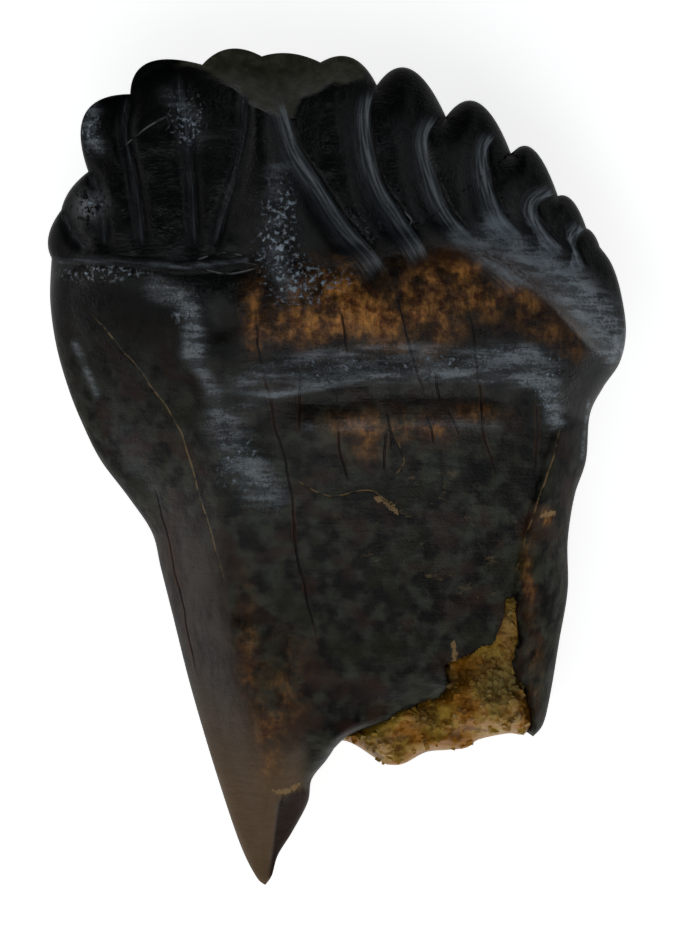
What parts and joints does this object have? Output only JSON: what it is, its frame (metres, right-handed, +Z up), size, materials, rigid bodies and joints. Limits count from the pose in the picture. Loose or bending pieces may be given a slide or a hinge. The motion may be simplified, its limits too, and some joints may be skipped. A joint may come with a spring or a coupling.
{
  "type": "fossil pachycephalosaur tooth",
  "caption": "Small leaf-shaped dinosaur tooth with a notched crown edge, swollen belt and a root broken to a splinter, with crystal fill showing in the break.",
  "frame": {"origin": "middle of the tooth's outline, on the surface that it lies on", "axes": "+X across the crown, +Y from the broken root to the crown's worn tip, +Z up out of the face that is seen"},
  "size_m": [0.0076, 0.0112, 0.0045],
  "materials": {
    "tooth": "glossy, near black enamel and dentine with brown and orange stains",
    "root_fill": "sugary tan and cream crystals"
  },
  "bodies": {
    "root": {"tooth": "tooth", "root_fill": "root_fill"}
  },
  "joints": []
}
